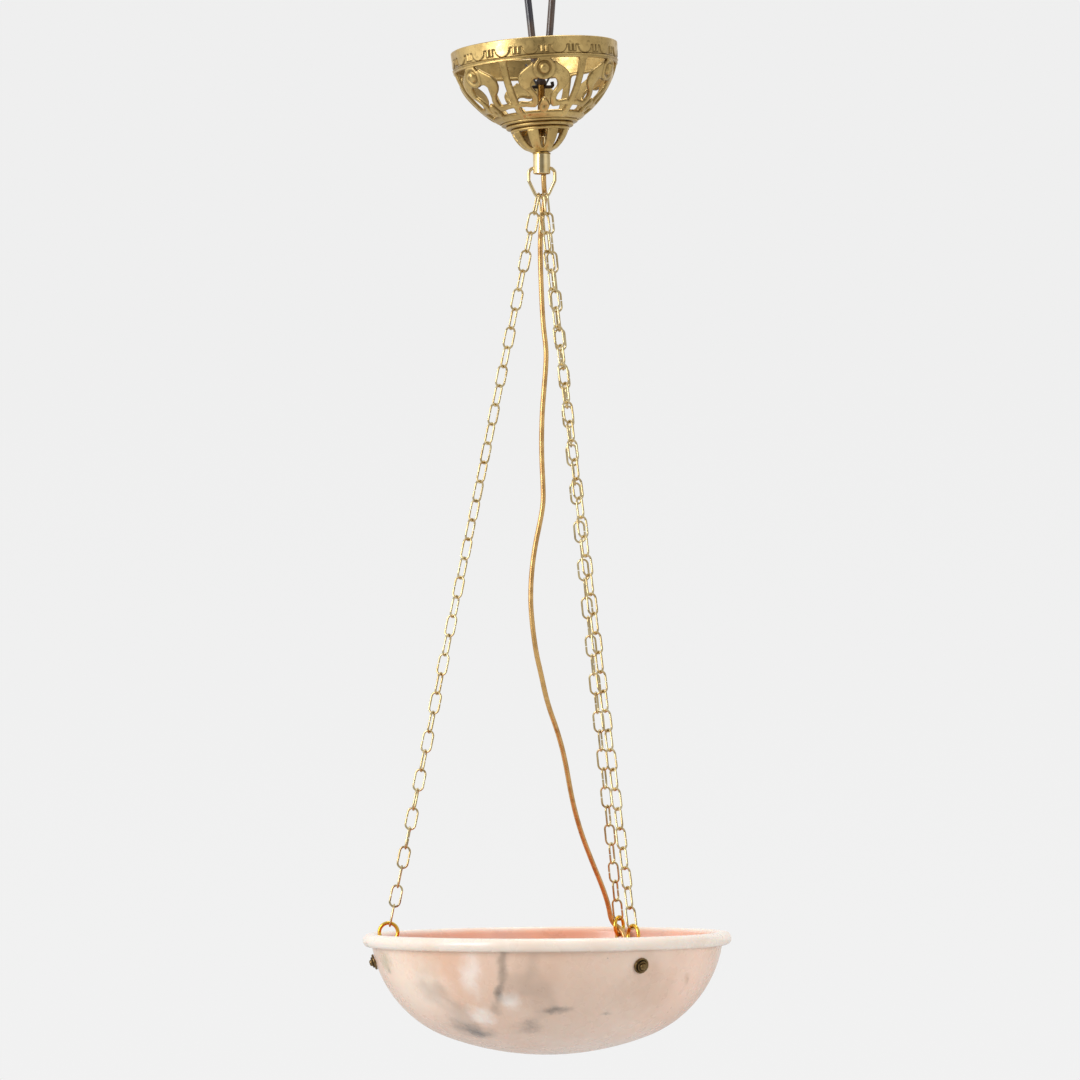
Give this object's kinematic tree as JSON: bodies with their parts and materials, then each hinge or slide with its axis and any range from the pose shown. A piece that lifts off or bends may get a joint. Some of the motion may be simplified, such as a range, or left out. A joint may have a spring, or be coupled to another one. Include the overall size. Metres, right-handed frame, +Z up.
{
  "type": "pendant lamp",
  "caption": "Shallow alabaster bowl pendant light hung on brass chains from a pierced brass canopy, with a loose flex down to the bowl.",
  "frame": {"origin": "the point of the hanging cord's crown that rests on the ceiling hook", "axes": "+Z up, through the sleeve and the middle of the bowl; -Y is the front that the picture shows"},
  "size_m": [0.32, 0.32, 0.9608],
  "materials": {
    "alabaster": "polished stone, translucent",
    "antique_brass": "patinated casting",
    "chain_brass": "antique",
    "polished_brass": "polished",
    "bright_brass": "bright",
    "satin_brass": "satin",
    "dark_steel": "oxidised",
    "brown_cord": "smooth",
    "gold_flex": "glossy sheath",
    "core_insulation": "matt",
    "felt": "felt",
    "dark_rubber": "matt",
    "porcelain": "glazed"
  },
  "bodies": {
    "suspension": {"hanging_cord": "brown_cord", "eye_nut": "dark_steel", "cross_pin": "dark_steel", "suspension_tube": "satin_brass", "sleeve": "polished_brass", "core_left": "core_insulation", "core_right": "core_insulation", "flex_inner": "gold_flex"},
    "washer": {"seat_washer": "satin_brass"},
    "canopy": {"canopy_cup": "antique_brass", "canopy_finial": "antique_brass"},
    "loop": {"main_loop": "polished_brass"},
    "pendant": {"chain_left": "chain_brass", "ring_left": "bright_brass", "lug_left": "satin_brass", "rosette_left": "antique_brass", "bolt_left": "antique_brass", "nut_left": "satin_brass", "chain_front": "chain_brass", "ring_front": "bright_brass", "lug_front": "satin_brass", "rosette_front": "antique_brass", "bolt_front": "antique_brass", "nut_front": "satin_brass", "chain_back": "chain_brass", "ring_back": "bright_brass", "lug_back": "satin_brass", "rosette_back": "antique_brass", "bolt_back": "antique_brass", "nut_back": "satin_brass", "bowl": "alabaster", "flex": "gold_flex", "felt_pad": "felt", "foot_plate": "satin_brass", "cord_grip": "dark_rubber", "lampholder": "porcelain", "screw_shell": "satin_brass", "centre_contact": "satin_brass"}
  },
  "joints": [
    {"name": "canopy_lift", "type": "slide", "parent": "suspension", "child": "washer", "axis": [0, 0, 1], "range_m": [0, 0.036]},
    {"name": "canopy_tilt", "type": "hinge", "parent": "washer", "child": "canopy", "pos_m": [0, 0, -0.16978], "axis": [0, 1, 0], "range_deg": [0, 7.6]},
    {"name": "loop_swing", "type": "hinge", "parent": "suspension", "child": "loop", "pos_m": [0, 0, -0.1837], "axis": [1, 0, 0], "range_deg": [-12, 12]},
    {"name": "pendant_swing", "type": "hinge", "parent": "loop", "child": "pendant", "pos_m": [0, 0, -0.2024], "axis": [0, 1, 0], "range_deg": [-12, 12], "deforming": ["flex"]}
  ]
}
